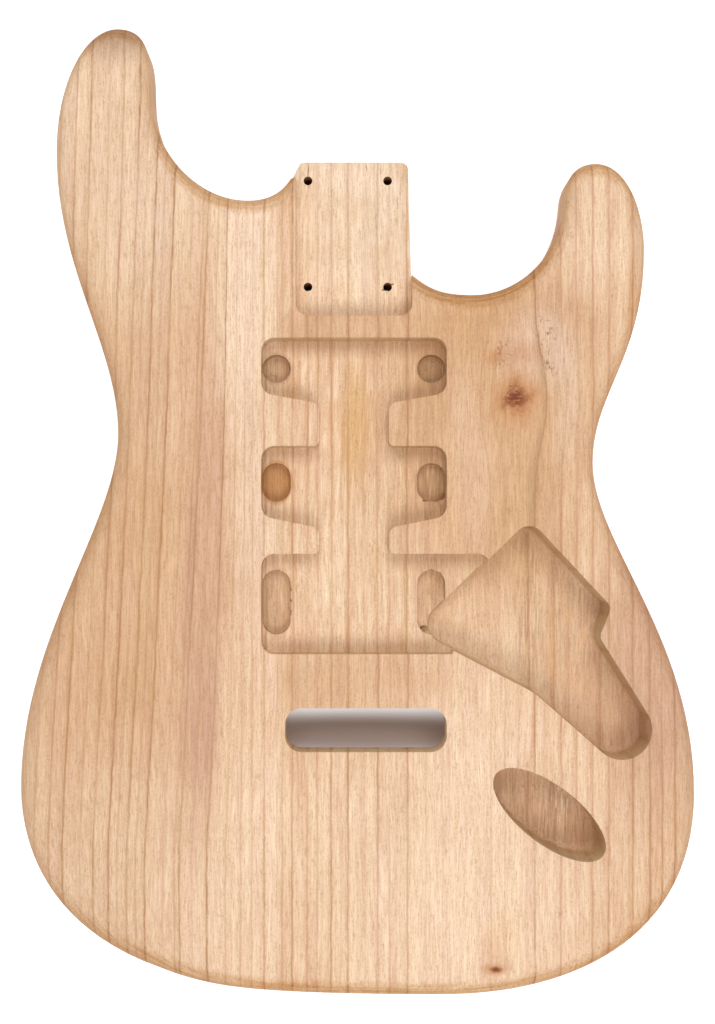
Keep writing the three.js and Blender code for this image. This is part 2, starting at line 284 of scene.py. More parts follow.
cuts = {
    # slack tells floors from walls, and of two plan points nearer than closest one is dropped for a foot
    "overrun": 5, "slack": 0.1, "closest": 0.3,
    "foot": 4, "footSteps": 5, "easeSpill": 0.5, "easeSteps": 6,
    "pocket": {"width": 55, "length": 75.3, "depth": 16, "corner": 6, "mouthY": 24.5},
    "boltHole": {"diameter": 4.2, "across": 38.1, "along": 50.8, "offsetX": -2.9},
    "pickups": {
        "width": 87.3, "depth": 16, "corner": 6.2, "channel": 32.7, "throatCorner": 4.5, "mouthCorner": 2.5,
        "neck": (-51.4, -77.4, -82.3), "middle": (-102.3, -135.3, -140.9),
        "bridge": (-153, -200.3), "right": 64.3, "notch": -163.1, "foot": 46.2,
    },
    "wells": {
        "width": 13.5, "depth": 24, "foot": 1.2, "offsetX": 37,
        "rows": [(-64.6, 13.5), (-119, 18.4), (-176.3, 30.8)],
    },
    "control": {
        "left": 28.9, "top": -136.8, "width": 115.7, "length": 117.7, "depth": 30,
        "corners": [
            (0.464, 0, 0.064), (0, 0.446, 0.084), (0.484, 0.694, 0.244), (0.838, 1, 0.122),
            (1, 0.865, 0.122), (0.748, 0.47, 0.042), (0.798, 0.351, 0.042),
        ],
    },
    "jack": {"x": 91.9, "y": -275.8, "length": 63.5, "width": 27.3, "tilt": -37.5, "depth": 30, "sides": 72},
    "slot": {"x": 5.6, "y": -236, "width": 76.1, "length": 20.6, "corner": 7.7},
    "block": {"width": 80, "length": 37, "depth": 24},
    "springs": {"width": 54, "length": 100, "depth": 15.9},
    "rearCorner": 6.3,
    "jackWire": {"diameter": 8, "lift": 8},
    "groundWire": {"diameter": 3, "reach": 9, "drop": 7},
}
faceZ = blank["thickness"]
aboveFace = faceZ + cuts["overrun"]
underBack = -cuts["overrun"]


def prism(name, plan, low, high, foot=0):
    # a plan made solid; its end faces become floors and its sides walls, and a foot rounds its low edge
    if sum(cross(a, b) for a, b in zip(plan, plan[1:] + plan[:1])) < 0:
        plan = plan[::-1]
    if foot:
        plan = [p for i, p in enumerate(plan) if (p - plan[i - 1]).length > cuts["closest"]]
    levels = [(0, low)]
    if foot:
        levels = [(foot * (1 - math.sin(a)), low + foot * (1 - math.cos(a)))
                  for a in quarterTurn(cuts["footSteps"])]
    inward = [inwardFrom((p - plan[i - 1]).normalized(), (plan[(i + 1) % len(plan)] - p).normalized())
              for i, p in enumerate(plan)]
    obj = ringTube(name, [
        [(p.x + way.x * inset, p.y + way.y * inset, z) for p, way in zip(plan, inward)]
        for inset, z in levels + [(0, high)]], wallCut)
    floorTop, lidLow = low + foot / 2 + cuts["slack"], high - cuts["slack"]
    for polygon in obj.data.polygons:
        if polygon.center.z < floorTop * mm or polygon.center.z > lidLow * mm:
            polygon.material_index = floorCut
    return obj


def drilled(name, start, end, diameter, finish=wallCut, sides=28):
    start, end = Vector(start), Vector(end)
    turn = (end - start).to_track_quat("Z", "Y")
    ring = [Vector((math.cos(a), math.sin(a), 0)) * diameter / 2 for a in fullTurn(sides)]
    return ringTube(name, [[middle + turn @ p for p in ring] for middle in (start, end)], finish)


def easedCorner(x, y, side, radius):
    # what to take off a corner whose open quarter lies towards side and down, to round it
    spill = cuts["easeSpill"]
    centre = Vector((x - side * radius, y + radius))
    arc = [centre + Vector((side * math.cos(a), -math.sin(a))) * radius
           for a in quarterTurn(cuts["easeSteps"])]
    outer = [(x - side * radius, y - spill), (x + side * spill, y - spill), (x + side * spill, y + radius)]
    return arc + [Vector(point) for point in outer]


damage = {
    "lumpDetail": 2,
    "ragged": (0.72, 1.12),
    # place and size of each chip
    "chips": [
        (41.7, -125.2, 28.2, 2.6, 2.2, 1.0), (43.0, -122.6, 28.3, 1.2, 1.6, 0.8),
        (39.4, -127.4, 28.3, 1.8, 1.0, 0.7), (34.4, -127.6, 28.4, 1.7, 0.6, 0.6),
        (-35.9, -162.0, 28.4, 0.8, 1.5, 0.7), (-38.4, -161.6, 28.4, 1.2, 0.6, 0.5),
        (-30.2, -170.2, 28.4, 0.5, 1.3, 0.6), (-30.1, -175.6, 28.4, 0.6, 0.8, 0.6),
        (-30.2, -181.3, 28.4, 0.5, 1.6, 0.6), (37.4, -161.3, 28.4, 1.6, 0.7, 0.6),
        (40.6, -162.6, 28.4, 1.1, 0.8, 0.6), (33.8, -190.0, 28.4, 1.7, 0.8, 0.6),
        (14.3, -26.8, 28.4, 0.9, 0.7, 0.5), (18.2, -24.1, 28.4, 1.1, 0.5, 0.4),
    ],
    "crackRise": 1,
    # a crack's plan, in shares of its width and half its length
    "crackPlan": [(0, 1), (-0.5, 0.3), (-0.35, -0.4), (0, -1), (0.5, -0.2), (0.3, 0.5)],
    # place, length, width, depth, turn
    "cracks": [
        (-21.9, 29.6, 28.45, 7.6, 0.34, 1.6, -4), (6.1, 31.6, 28.45, 5.0, 0.26, 1.2, 6),
        (12.9, 30.2, 28.45, 6.0, 0.2, 0.8, -3), (20.8, 14.5, 28.45, 9, 0.16, 0.6, 2),
    ],
}


def chipCutter(x, y, z, sizes):
    # a ragged lump that tears a little wood out
    b = bmesh.new()
    bmesh.ops.create_icosphere(b, subdivisions=damage["lumpDetail"], radius=1)
    for v in b.verts:
        v.co *= random.uniform(*damage["ragged"])
        v.co = Vector((v.co.x * sizes[0] + x, v.co.y * sizes[1] + y, v.co.z * sizes[2] + z)) * mm
    for f in b.faces:
        f.material_index = tornCut
    mesh = bpy.data.meshes.new("chip")
    b.to_mesh(mesh)
    b.free()
    return linked("chip", mesh)


def crackCutter(x, y, z, length, width, depth, turn):
    # a split along the grain, widest in the middle
    plan = [Vector((across * width, along * length / 2)) for across, along in damage["crackPlan"]]
    plan = [turned(p, math.radians(turn)) + Vector((x, y)) for p in plan]
    obj = prism("crack", plan, z - depth, z + damage["crackRise"])
    for polygon in obj.data.polygons:
        polygon.material_index = tornCut
    return obj


def damageCutters():
    out = [chipCutter(x, y, z, sizes) for x, y, z, *sizes in damage["chips"]]
    return out + [crackCutter(*row) for row in damage["cracks"]]


def routCutters():
    out = []

    def fromFront(name, plan, depth, foot=0):
        out.append(prism(name, plan, faceZ - depth, aboveFace, foot))

    heel, pocket, pick = blank["heel"], cuts["pocket"], cuts["pickups"]
    half, low, high = pocket["width"] / 2, heel["endY"] - pocket["length"], heel["endY"] + cuts["overrun"]
    flare, mouth = -half - cuts["overrun"], pocket["mouthY"]
    fromFront("neckPocketCut", roundedPlan([
        [flare, high, 0], [flare, mouth, 0], [-half, mouth, 0],
        [-half, low, pocket["corner"]], [half, low, pocket["corner"]], [half, high, 0],
    ]), pocket["depth"])
    bolt = cuts["boltHole"]
    for sx in (-1, 1):
        for sy in (-1, 1):
            x, y = bolt["offsetX"] + sx * bolt["across"] / 2, sy * bolt["along"] / 2
            out.append(drilled("boltCut", (x, y, underBack), (x, y, faceZ), bolt["diameter"], tornCut))
    half, c, r = pick["width"] / 2, pick["channel"] / 2, pick["corner"]
    pairs = (pick["neck"], pick["middle"][0]), (pick["middle"], pick["bridge"][0])
    for (top, shoulder, throat), after in pairs:
        end = after - cuts["overrun"]
        fromFront("coilCut", roundedPlan([
            [-half, top, r], [-half, shoulder, r], [-c, throat, pick["throatCorner"]], [-c, end, 0],
            [c, end, 0], [c, throat, pick["throatCorner"]], [half, shoulder, r], [half, top, r],
        ]), pick["depth"])
        for side in (-1, 1):
            fromFront("mouthCut", easedCorner(side * c, after, -side, pick["mouthCorner"]), pick["depth"])
    top, bottom = pick["bridge"]
    fromFront("bridgeCoilCut", roundedPlan([
        [-half, top, r], [-half, bottom, r], [pick["foot"], bottom, 0],
        [pick["right"], pick["notch"], 0], [pick["right"], top, r],
    ]), pick["depth"])
    well = cuts["wells"]
    for y, length in well["rows"]:
        for side in (-1, 1):
            radius = well["width"] / 2 - cuts["slack"]
            plan = rectanglePlan(side * well["offsetX"], y, well["width"], length, radius)
            fromFront("wellCut", plan, well["depth"], well["foot"])
    ctrl = cuts["control"]
    short = min(ctrl["width"], ctrl["length"])
    plan = roundedPlan([[ctrl["left"] + a * ctrl["width"], ctrl["top"] - b * ctrl["length"], s * short]
                        for a, b, s in ctrl["corners"]])
    fromFront("controlCut", plan, ctrl["depth"], cuts["foot"])
    jack = cuts["jack"]
    tilt = math.radians(jack["tilt"])
    oval = [Vector((math.cos(a) * jack["length"] / 2, math.sin(a) * jack["width"] / 2))
            for a in fullTurn(jack["sides"])]
    plan = [Vector((jack["x"], jack["y"])) + turned(p, tilt) for p in oval]
    fromFront("jackCut", plan, jack["depth"], cuts["foot"])
    slot, block, springs = cuts["slot"], cuts["block"], cuts["springs"]
    slotHigh = slot["y"] + slot["length"] / 2
    plan = rectanglePlan(slot["x"], slot["y"], slot["width"], slot["length"], slot["corner"])
    out.append(prism("slotCut", plan, underBack, aboveFace))
    y = slotHigh - block["length"] / 2
    plan = rectanglePlan(slot["x"], y, block["width"], block["length"], cuts["rearCorner"])
    out.append(prism("blockCut", plan, underBack, block["depth"]))
    y, length = slotHigh + springs["length"] / 2 - cuts["overrun"], springs["length"] + 2 * cuts["overrun"]
    plan = rectanglePlan(slot["x"], y, springs["width"], length, cuts["rearCorner"])
    out.append(prism("springCut", plan, underBack, springs["depth"]))
    wire = cuts["jackWire"]
    z = faceZ - jack["depth"] + wire["lift"]
    lobe = 2 * ctrl["corners"][4][2] * short  # two radii in from the corner where the lobe ends
    end = (ctrl["left"] + ctrl["width"] - lobe, ctrl["top"] - ctrl["length"] + lobe, z)
    out.append(drilled("jackWireCut", (jack["x"], jack["y"], z), end, wire["diameter"]))
    wire = cuts["groundWire"]
    x, y = ctrl["left"] + wire["reach"], ctrl["top"] - ctrl["corners"][1][1] * ctrl["length"]
    z = faceZ - ctrl["depth"] + wire["reach"]
    end = (x - 2 * wire["reach"], y, z - 2 * wire["drop"])
    out.append(drilled("groundWireCut", (x, y, z), end, wire["diameter"]))
    return out


def combined(target, others, operation):
    # the target cut by, or kept inside, the others, as a new mesh
    group = bpy.data.collections.new("operands")
    for o in others:
        group.objects.link(o)
    modifier = target.modifiers.new("combine", "BOOLEAN")
    modifier.operation = operation
    modifier.solver = "EXACT"
    modifier.material_mode = "INDEX"
    modifier.operand_type = "COLLECTION"
    modifier.collection = group
    modifier.use_self = False
    bpy.context.view_layer.update()
    graph = bpy.context.evaluated_depsgraph_get()
    mesh = bpy.data.meshes.new_from_object(target.evaluated_get(graph))
    target.modifiers.clear()
    bpy.data.collections.remove(group)
    return mesh


def dropped(objects):
    for o in objects:
        bpy.data.objects.remove(o)


easing = {
    "width": 0.6, "segments": 2, "profile": 0.5, "sharpAngle": 32,
    # how near points count as one, how near a height is the face's, and how floors and walls lean
    "weld": 0.004, "level": 0.02, "flat": 0.9, "upright": 0.3,
}


def softened(mesh):
    # eases the edges where a cut meets the sanded front or back
    b = bmesh.new()
    b.from_mesh(mesh)
    bmesh.ops.remove_doubles(b, verts=b.verts, dist=easing["weld"] * mm)
    edges = []
    for e in b.edges:
        if len(e.link_faces) != 2:
            continue
        kinds = sorted(f.material_index for f in e.link_faces)
        leans = [abs(f.normal.z) for f in e.link_faces]
        heights = [v.co.z for v in e.verts]
        onFace = min(heights) > (faceZ - easing["level"]) * mm or max(heights) < easing["level"] * mm
        square = max(leans) > easing["flat"] and min(leans) < easing["upright"]
        if onFace and square and kinds == [sanded, wallCut]:
            edges.append(e)
    if edges:
        bmesh.ops.bevel(
            b, geom=edges, offset=easing["width"] * mm, segments=easing["segments"], affect="EDGES",
            profile=easing["profile"], clamp_overlap=True, material=edgeCut)
    b.to_mesh(mesh)
    b.free()
    print("softened", len(edges), "edges")


bodyBlank = sandedBlank()
cutters = routCutters() + damageCutters()
routed = linked("routed", combined(bodyBlank, cutters, "DIFFERENCE"))
dropped([bodyBlank] + cutters)
print("routed:", len(routed.data.polygons), "faces")

# Two boards and the glue between them

seam = {"x": -36.25, "glue": 0.25, "lowEnd": -400, "highEnd": 140}
reach = blank["width"]
glueLeft, glueRight = seam["x"] - seam["glue"] / 2, seam["x"] + seam["glue"] / 2


def slab(left, right):
    low, high = seam["lowEnd"], seam["highEnd"]
    plan = [Vector(p) for p in ((left, low), (right, low), (right, high), (left, high))]
    return prism("slab", plan, underBack, aboveFace)


def boardPiece(name, left, right, materials):
    piece = slab(left, right)
    mesh = combined(routed, [piece], "INTERSECT")
    dropped([piece])
    mesh.name = name
    softened(mesh)
    for m in materials:
        mesh.materials.append(m)
    for polygon in mesh.polygons:
        polygon.use_smooth = True
    mesh.set_sharp_from_angle(angle=math.radians(easing["sharpAngle"]))
    obj = linked(name, mesh)
    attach(obj, "root")
    return obj


# Shader helpers


def fed(tree, node, inputs):
    # links the sockets among the inputs, sets the plain values, and gives the node's outputs
    for key, value in inputs.items():
        if isinstance(value, bpy.types.NodeSocket):
            tree.links.new(value, node.inputs[key])
        else:
            node.inputs[key].default_value = value
    return node.outputs


def newNode(tree, kind, settings=None, inputs=None):
    node = tree.nodes.new("ShaderNode" + kind)
    for key, value in (settings or {}).items():
        setattr(node, key, value)
    fed(tree, node, inputs or {})
    return node


def placed(tree, group, *values):
    node = tree.nodes.new("ShaderNodeGroup")
    node.node_tree = group
    return fed(tree, node, dict(enumerate(values)))


def calc(tree, operation, *values, clamp=False):
    inputs = dict(enumerate(values))
    return newNode(tree, "Math", {"operation": operation, "use_clamp": clamp}, inputs).outputs[0]


def plus(tree, a, b):
    return calc(tree, "ADD", a, b)


def minus(tree, a, b):
    return calc(tree, "SUBTRACT", a, b)


def times(tree, first, *others):
    for other in others:
        first = calc(tree, "MULTIPLY", first, other)
    return first


def distance(tree, dx, dy):
    return calc(tree, "SQRT", plus(tree, times(tree, dx, dx), times(tree, dy, dy)))


def bell(tree, value, fall):
    # 1 where the value is 0, less and less on both sides
    return calc(tree, "EXPONENT", times(tree, value, value, -fall))


def scaled(tree, vector, factor):
    return newNode(tree, "VectorMath", {"operation": "SCALE"}, {0: vector, 3: factor}).outputs[0]


def apart(tree, vector):
    return newNode(tree, "SeparateXYZ", None, {0: vector}).outputs


def mixed(tree, factor, a, b, mode="MIX"):
    settings = {"data_type": "RGBA", "blend_type": mode, "clamp_factor": True}
    return newNode(tree, "Mix", settings, {0: factor, 6: a, 7: b}).outputs[2]


def tinted(tree, color, tint):
    return mixed(tree, 1, color, tint, "MULTIPLY")


def ranged(tree, value, fromLow, fromHigh, toLow=0, toHigh=1, curve="SMOOTHSTEP"):
    inputs = {0: value, 1: fromLow, 2: fromHigh, 3: toLow, 4: toHigh}
    return newNode(tree, "MapRange", {"interpolation_type": curve}, inputs).outputs[0]


def noise(tree, place, scale, detail, roughness):
    # the scale is a frequency per millimetre across, along and through the board
    vector = newNode(tree, "VectorMath", {"operation": "MULTIPLY"}, {0: place, 1: scale}).outputs[0]
    inputs = {"Vector": vector, "Scale": 1, "Detail": detail, "Roughness": roughness}
    return newNode(tree, "TexNoise", None, inputs).outputs[0]


noiseMiddle = 0.5


def uneven(tree, place, texture, size):
    # a shift to both sides of nothing
    return times(tree, minus(tree, noise(tree, place, *texture), noiseMiddle), size)


def rampOf(tree, value, stops, low, high):
    # stops are (place in mm, grey) over a range of places
    node = newNode(tree, "ValToRGB", None, {0: ranged(tree, value, low, high, curve="LINEAR")})
    elements = node.color_ramp.elements
    while len(elements) > 1:
        elements.remove(elements[0])
    for i, (place, grey) in enumerate(stops):
        at = min(max((place - low) / (high - low), 0), 1)
        element = elements[0] if i == 0 else elements.new(at)
        element.position = at
        element.color = (grey, grey, grey, 1)
    return node.outputs[0]


def newSockets(tree, side, labels):
    # a Place is a vector, a Color a colour, and all other sockets are values
    for label in labels:
        kind = "Vector" if label == "Place" else "Color" if "Color" in label else "Float"
        tree.interface.new_socket(name=label, in_out=side, socket_type="NodeSocket" + kind)


def newGroup(name, *labels):
    # gives the group, then each of its inputs
    tree = bpy.data.node_groups.new(name, "ShaderNodeTree")
    newSockets(tree, "INPUT", labels)
    return [tree, *tree.nodes.new("NodeGroupInput").outputs][:len(labels) + 1]


def closedGroup(tree, results):
    newSockets(tree, "OUTPUT", results)
    fed(tree, tree.nodes.new("NodeGroupOutput"), results)
    return tree


# Effects that several finishes share; a texture is (scale, detail, roughness)


def makeFibre():
    # figure that runs along the boards, from broad streaks to single pores; places are in millimetres
    look = {
        "bend": ((0.05, 0.012, 0.05), 1, 0.5), "bendSize": 7, "poreRange": (0.57, 0.7),
        "textures": {
            "Streak": ((0.24, 0.009, 0.24), 3, 0.6), "Grain": ((0.85, 0.05, 0.85), 3, 0.65),
            "Hair": ((1.5, 0.085, 1.5), 2, 0.6), "Speck": ((1.4, 0.8, 1.4), 2, 0.7),
            "Mottle": ((0.045, 0.02, 0.045), 3, 0.55), "Pore": ((1.6, 0.2, 1.6), 2, 0.5),
        },
    }
    tree, place = newGroup("woodFibre", "Place")
    bend = times(tree, noise(tree, place, *look["bend"]), look["bendSize"])
    shift = newNode(tree, "CombineXYZ", None, {0: bend}).outputs[0]
    place = newNode(tree, "VectorMath", {"operation": "ADD"}, {0: place, 1: shift}).outputs[0]
    made = {label: noise(tree, place, *texture) for label, texture in look["textures"].items()}
    made["Pore"] = ranged(tree, made["Pore"], *look["poreRange"])
    return closedGroup(tree, made)


def makeRing():
    # one growth ring: a thin dark line, with a soft shade that builds up on its left
    look = {"lineCore": 0.12, "lineEdge": 0.68, "shadeTop": 0.2, "shadeEnd": 1.2}
    tree, across, at, strength, spread = newGroup("growthRing", "Across", "At", "Strength", "Spread")
    past = minus(tree, across, at)
    line = ranged(tree, calc(tree, "ABSOLUTE", past), look["lineCore"], look["lineEdge"], 1, 0)
    rise = ranged(tree, past, times(tree, spread, -1), look["shadeTop"])
    fall = ranged(tree, past, look["shadeTop"], look["shadeEnd"], 1, 0)
    return closedGroup(tree, {
        "Line": times(tree, line, strength), "Shade": times(tree, rise, rise, fall, strength)})


def fromCentre(tree, place, cx, cy):
    x, y = apart(tree, place)[:2]
    return minus(tree, x, cx), minus(tree, y, cy)


def makeSpot():
    # a soft-edged oval at a given place, with an uneven outline
    look = {"outline": ((0.12, 0.035, 0.12), 3, 0.6)}
    tree, place, cx, cy, rx, ry, softness, raggedness = newGroup(
        "softSpot", "Place", "Centre X", "Centre Y", "Radius X", "Radius Y", "Softness", "Raggedness")
    dx, dy = fromCentre(tree, place, cx, cy)
    far = distance(tree, calc(tree, "DIVIDE", dx, rx), calc(tree, "DIVIDE", dy, ry))
    far = plus(tree, far, uneven(tree, place, look["outline"], raggedness))
    near, wide = minus(tree, 1, softness), plus(tree, 1, softness)
    return closedGroup(tree, {"Mask": ranged(tree, far, near, wide, 1, 0)})


def makeSquiggle():
    # thin crooked cracks, such as dry out round a knot
    look = {
        "field": ((0.16, 0.09, 0.16), 3, 0.55), "lineCore": 0.004, "lineEdge": 0.024,
        "gaps": ((0.8, 0.5, 0.8), 2, 0.6), "gapRange": (0.42, 0.56),
    }
    tree, place = newGroup("squiggle", "Place")
    past = calc(tree, "ABSOLUTE", uneven(tree, place, look["field"], 1))
    line = ranged(tree, past, look["lineCore"], look["lineEdge"], 1, 0)
    broken = ranged(tree, noise(tree, place, *look["gaps"]), *look["gapRange"])
    return closedGroup(tree, {"Line": times(tree, line, broken)})


def makeKnot():
    # a knot's core, the stain round it, and how far it pushes the rings aside
    look = {
        "wobble": ((0.15, 0.11, 0.15), 4, 0.65), "wobbleSize": 1.9,
        "flakes": ((0.35, 0.85, 0.35), 3, 0.6), "flakeRange": (0.5, 0.62, 1, 0.3),
        # in shares of the core
        "coreStart": 0.3, "coreEnd": 1.6,
        # in shares of the halo, and how fast each fades
        "haloFall": 1.1, "pushReach": 2.3, "pushFall": 1, "pushTurn": 1.4,
        "swirlRate": 3.1, "swirlRange": (-0.2, 1), "swirlFall": 1.6,
    }
    tree, place, cx, cy, core, halo, push, flatness = newGroup(
        "knot", "Place", "Centre X", "Centre Y", "Core", "Halo", "Push", "Flatness")
    dx, dy = fromCentre(tree, place, cx, cy)
    far = distance(tree, dx, times(tree, dy, flatness))
    wobble = uneven(tree, place, look["wobble"], look["wobbleSize"])
    rough = times(tree, far, plus(tree, 1, wobble))
    start, end = times(tree, core, look["coreStart"]), times(tree, core, look["coreEnd"])
    flakes = ranged(tree, noise(tree, place, *look["flakes"]), *look["flakeRange"])
    share = calc(tree, "DIVIDE", rough, halo)
    wide = calc(tree, "DIVIDE", far, times(tree, halo, look["pushReach"]))
    side = calc(tree, "DIVIDE", dx, times(tree, halo, look["pushTurn"]))
    side = calc(tree, "DIVIDE", side, calc(tree, "SQRT", plus(tree, 1, times(tree, side, side))))
    swirl = ranged(tree, calc(tree, "SINE", times(tree, rough, look["swirlRate"])), *look["swirlRange"])
    return closedGroup(tree, {
        "Core": times(tree, ranged(tree, rough, start, end, 1, 0), flakes),
        "Halo": bell(tree, share, look["haloFall"]),
        "Push": times(tree, side, bell(tree, wide, look["pushFall"]), push),
        "Swirl": times(tree, swirl, bell(tree, share, look["swirlFall"])),
    })


def makeMillMarks():
    # what a router leaves: rows of fine chatter down a wall and arcs over a floor
    look = {
        "chatter": ((0.9, 0.9, 0.12), 2, 0.5), "burnish": ((0.06, 0.06, 0.2), 3, 0.6),
        "arcs": {"Scale": 0.16, "Distortion": 2.5, "Detail": 2, "Detail Scale": 0.6},
    }
    tree, place = newGroup("millMarks", "Place")
    arcs = newNode(tree, "TexWave", {"wave_type": "RINGS", "rings_direction": "Z"}, {
        "Vector": place, **look["arcs"]}).outputs[1]
    return closedGroup(tree, {
        "Chatter": noise(tree, place, *look["chatter"]), "Arcs": arcs,
        "Burnish": noise(tree, place, *look["burnish"]),
    })


fibre, growthRing, softSpot = makeFibre(), makeRing(), makeSpot()
knot, squiggle, millMarks = makeKnot(), makeSquiggle(), makeMillMarks()

# The two boards' own figure

palette = {
    "pale": (0.90, 0.655, 0.475, 1), "tan": (0.67, 0.39, 0.205, 1),
    "pink": (0.66, 0.39, 0.26, 1), "line": (0.40, 0.18, 0.07, 1),
    "redLine": (0.42, 0.165, 0.08, 1), "pore": (0.42, 0.22, 0.11, 1),
    "stain": (0.52, 0.19, 0.05, 1), "knot": (0.17, 0.035, 0.012, 1),
    "orange": (0.74, 0.41, 0.15, 1), "ash": (0.85, 0.61, 0.46, 1),
    "cream": (0.95, 0.71, 0.53, 1), "dusk": (0.42, 0.235, 0.15, 1),
    "brown": (0.52, 0.31, 0.16, 1), "amber": (0.56, 0.25, 0.07, 1),
    "crack": (0.26, 0.11, 0.05, 1), "burn": (0.36, 0.17, 0.08, 1),
    "fleck": (0.94, 0.72, 0.52, 1), "umber": (0.50, 0.25, 0.12, 1),
    "olive": (0.68, 0.44, 0.25, 1),
}

# Each ring holds its place across at the widest part of the body, its strength and how far its shade
# spreads. Each spot holds its colour, centre, radii, softness, raggedness and strength.
wellWoodAndShade = [  # brown on the well floors, partly the wood's own colour and partly painted shade of the deep wells; on the floors that the seam runs through
    ("brown", -37, -64.6, 7.6, 7.6, 0.15, 0, 0.6), ("amber", -37, -119, 7.8, 10.5, 0.15, 0, 0.85),
    ("brown", -37, -176.3, 7.8, 16.8, 0.15, 0, 0.5),
]
bassFigure = {
    "bend": {"low": -292, "high": 70, "rise": 22.1, "ease": 6.6, "straight": -44, "full": -68},
    "rings": [(-153, 0.45, 4), (-145.4, 0.6, 4), (-138.5, 0.85, 5), (-130, 0.3, 3), (-123.4, 0.85, 4.5),
              (-116, 1.0, 4.5), (-111.8, 0.3, 2), (-107.2, 0.9, 4), (-103, 0.35, 2), (-98.6, 1.0, 4.5),
              (-90, 0.3, 3), (-84.6, 0.55, 3), (-82.4, 0.85, 5), (-76.5, 0.3, 3), (-69.4, 1.0, 6),
              (-60.5, 0.35, 4), (-53.5, 0.4, 4), (-48.2, 0.35, 3), (-42.3, 0.7, 4)],
    "tones": [(-160, 0.3), (-140, 0.4), (-120, 0.5), (-104, 0.58), (-90, 0.45), (-76, 0.42), (-62, 0.3),
              (-52, 0.22), (-40, 0.2), (-36, 0.25)],
    "range": (-160, -34),
    "drift": {"slow": 1.6, "quick": 1.3},
    "weave": {"Streak": 0.7, "Grain": 1.3, "Hair": 0.7, "Mottle": 0.8},
    "line": "line",
    "spots": [
        ("tan", -120, -150, 62, 150, 0.55, 0.5, 0.55), ("pale", -115, 62, 66, 76, 0.5, 0.4, 0.6),
        ("pale", -60, -30, 20, 60, 0.6, 0.4, 0.6), ("pale", -90, -310, 70, 60, 0.6, 0.4, 0.45),
        ("pink", -77, -170, 11, 105, 0.5, 0.5, 0.6), ("pink", -75, -228, 8, 36, 0.45, 0.6, 0.8),
        ("ash", -50, -130, 11, 60, 0.5, 0.5, 0.35), ("cream", -56, -20, 16, 60, 0.5, 0.4, 0.65),
        ("cream", -112, -10, 20, 40, 0.6, 0.4, 0.4), ("pale", -104, -85, 16, 30, 0.6, 0.4, 0.2),
        ("dusk", -127, 94, 15, 13, 0.7, 0.4, 0.65),
    ],
    "floorMarksAndShade": [
        *wellWoodAndShade, ("burn", -38, -119, 8, 75, 0.3, 0.3, 0.4), ("crack", -37, -64.6, 8, 8, 0.2, 0, 0.45),
    ],
    "knots": [],
}
